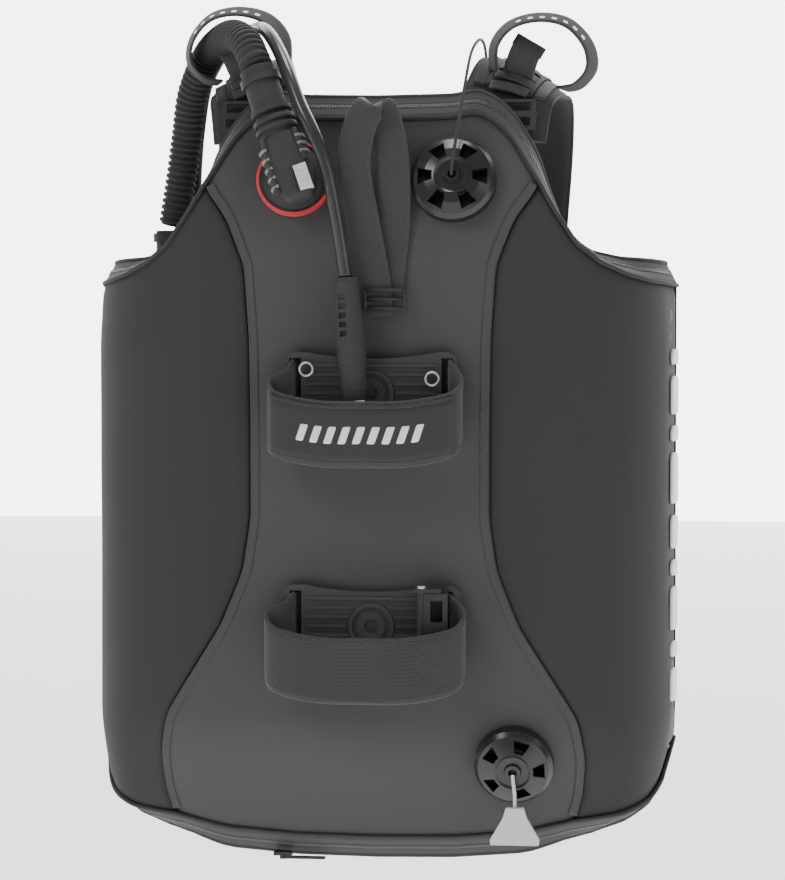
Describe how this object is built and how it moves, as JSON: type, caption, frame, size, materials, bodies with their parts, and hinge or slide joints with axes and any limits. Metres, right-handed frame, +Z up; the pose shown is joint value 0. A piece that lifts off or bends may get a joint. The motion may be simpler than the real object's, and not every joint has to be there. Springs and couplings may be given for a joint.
{
  "type": "buoyancy compensator vest",
  "caption": "Back-inflation buoyancy vest with bent fabric wing, tank bands on rubber pads, dump valves, hoses with inflator, shoulder straps and waist flaps.",
  "frame": {"origin": "middle of the back pad's face that lies on the wearer's back", "axes": "+Z up the wearer's back, +Y the way the wearer faces, +X to the wearer's right"},
  "size_m": [0.4584, 0.2903, 0.6645],
  "materials": {
    "center_fabric": "smooth charcoal laminate",
    "side_fabric": "matt black stretch fabric",
    "binding": "woven black tape",
    "webbing": "woven dark grey webbing",
    "pad_fabric": "padded black fabric",
    "mesh_lining": "spacer mesh",
    "bladder": "coated nylon",
    "pad_rubber": "moulded black rubber",
    "hose_rubber": "black rubber",
    "gloss_black": "glossy black moulded plastic",
    "black_plastic": "satin black moulded plastic",
    "red_plastic": "red anodised look",
    "pale_plastic": "pale grey moulded plastic",
    "grey_plastic": "mid grey moulded plastic",
    "steel": "stainless steel",
    "chrome": "chromed brass"
  },
  "bodies": {
    "root": {"rear_panel_center": "center_fabric", "rear_side_panels": "side_fabric", "zip_gusset": "binding", "zip_chain": "black_plastic", "air_cell": "bladder", "body_panel": "pad_fabric", "stiffener_plate": "black_plastic", "back_pads": "mesh_lining", "upper_tank_pad": "pad_rubber", "lower_tank_pad": "pad_rubber", "upper_tank_band": "webbing", "band_sleeve": "binding", "band_keeper_rings": "steel", "lower_cam_band": "webbing", "cam_buckle_frame": "black_plastic", "cam_lever_pin": "steel", "grab_strap": "webbing", "shoulder_valve_base": "gloss_black", "shoulder_valve_cover": "gloss_black", "shoulder_valve_spring": "steel", "shoulder_pull_cord": "hose_rubber", "lower_valve_base": "gloss_black", "lower_valve_cover": "gloss_black", "lower_valve_spring": "steel", "port_base": "black_plastic", "port_ring": "red_plastic", "hose_elbow": "black_plastic", "hose_cuff": "hose_rubber", "corrugated_hose": "hose_rubber", "hose_clamps": "black_plastic", "inflator_body": "black_plastic", "mouthpiece": "hose_rubber", "lp_hose": "hose_rubber", "lp_hose_sleeve": "hose_rubber", "lp_hose_fitting": "chrome", "shoulder_straps": "pad_fabric", "shoulder_webbing": "webbing", "shoulder_hardware": "black_plastic", "hose_loops": "binding", "chest_buckle_sockets": "black_plastic", "sternum_socket": "black_plastic", "waist_wings": "pad_fabric", "waist_socket": "black_plastic"},
    "elbow_latch": {"elbow_latch": "pale_plastic"},
    "shoulder_poppet": {"shoulder_valve_poppet": "grey_plastic"},
    "shoulder_knob": {"shoulder_pull_knob": "black_plastic"},
    "lower_poppet": {"lower_valve_poppet": "grey_plastic"},
    "lower_knob": {"lower_pull_knob": "pale_plastic"},
    "inflate_button": {"inflate_button": "red_plastic"},
    "deflate_button": {"deflate_button": "grey_plastic"},
    "connect_collar": {"quick_connect_collar": "steel"},
    "cam_lever": {"cam_lever": "black_plastic"},
    "zip_slider": {"zip_slider": "black_plastic"},
    "zip_puller": {"zip_puller": "black_plastic"},
    "d_ring_left": {"d_ring_left": "steel"},
    "d_ring_right": {"d_ring_right": "steel"},
    "chest_insert_left": {"chest_buckle_left": "black_plastic"},
    "chest_insert_right": {"chest_buckle_right": "black_plastic"},
    "sternum_insert": {"sternum_insert": "black_plastic"},
    "waist_insert": {"waist_insert": "black_plastic"}
  },
  "joints": [
    {"name": "elbow_latch_press", "type": "slide", "parent": "root", "child": "elbow_latch", "axis": [0, 0.9613, -0.2756], "range_m": [0, 0.003], "stiffness_N_per_m": 400, "springref_m": -0.001},
    {"name": "shoulder_knob_pull", "type": "slide", "parent": "root", "child": "shoulder_knob", "axis": [0, 0, -1], "range_m": [0, 0.008], "stiffness_N_per_m": 300, "springref_m": -0.002},
    {"name": "shoulder_poppet_lift", "type": "slide", "parent": "root", "child": "shoulder_poppet", "axis": [0, -0.9613, 0.2756], "range_m": [0, 0.006], "deforming": ["shoulder_valve_spring"]},
    {"name": "lower_knob_pull", "type": "slide", "parent": "root", "child": "lower_knob", "axis": [0, 0, -1], "range_m": [0, 0.008], "stiffness_N_per_m": 300, "springref_m": -0.002},
    {"name": "lower_poppet_lift", "type": "slide", "parent": "root", "child": "lower_poppet", "axis": [0, -0.9511, -0.309], "range_m": [0, 0.006], "deforming": ["lower_valve_spring"]},
    {"name": "inflate_press", "type": "slide", "parent": "root", "child": "inflate_button", "axis": [0.9848, 0.1736, 0], "range_m": [0, 0.003], "stiffness_N_per_m": 500, "springref_m": -0.001},
    {"name": "deflate_press", "type": "slide", "parent": "root", "child": "deflate_button", "axis": [0, 0, 1], "range_m": [0, 0.004], "stiffness_N_per_m": 400, "springref_m": -0.001},
    {"name": "collar_pull", "type": "slide", "parent": "root", "child": "connect_collar", "axis": [0, 0, 1], "range_m": [0, 0.004], "stiffness_N_per_m": 500, "springref_m": -0.001},
    {"name": "cam_lever_swing", "type": "hinge", "parent": "root", "child": "cam_lever", "pos_m": [0.043, -0.096, -0.11], "axis": [0, 0, -1], "range_deg": [0, 110]},
    {"name": "zip_run", "type": "slide", "parent": "root", "child": "zip_slider", "axis": [1, 0, 0], "range_m": [0, 0.1]},
    {"name": "zip_puller_swing", "type": "hinge", "parent": "zip_slider", "child": "zip_puller", "pos_m": [-0.072, -0.037, -0.2968], "axis": [0, 1, 0], "range_deg": [0, 160]},
    {"name": "d_ring_left_swing", "type": "hinge", "parent": "root", "child": "d_ring_left", "pos_m": [-0.106, 0.1095, 0.212], "axis": [1, 0, 0], "range_deg": [0, 100]},
    {"name": "chest_left_release", "type": "slide", "parent": "root", "child": "chest_insert_left", "axis": [0, 0.1219, -0.9925], "range_m": [0, 0.025]},
    {"name": "d_ring_right_swing", "type": "hinge", "parent": "root", "child": "d_ring_right", "pos_m": [0.106, 0.1095, 0.212], "axis": [1, 0, 0], "range_deg": [0, 100]},
    {"name": "chest_right_release", "type": "slide", "parent": "root", "child": "chest_insert_right", "axis": [0, 0.1219, -0.9925], "range_m": [0, 0.025]},
    {"name": "sternum_release", "type": "slide", "parent": "root", "child": "sternum_insert", "axis": [-1, 0, 0], "range_m": [0, 0.025]},
    {"name": "waist_release", "type": "slide", "parent": "root", "child": "waist_insert", "axis": [-1, 0, 0], "range_m": [0, 0.025]}
  ],
  "couplings": [
    {"joint": "shoulder_poppet_lift", "follows": "shoulder_knob_pull", "ratio": 0.75},
    {"joint": "lower_poppet_lift", "follows": "lower_knob_pull", "ratio": 0.75}
  ]
}
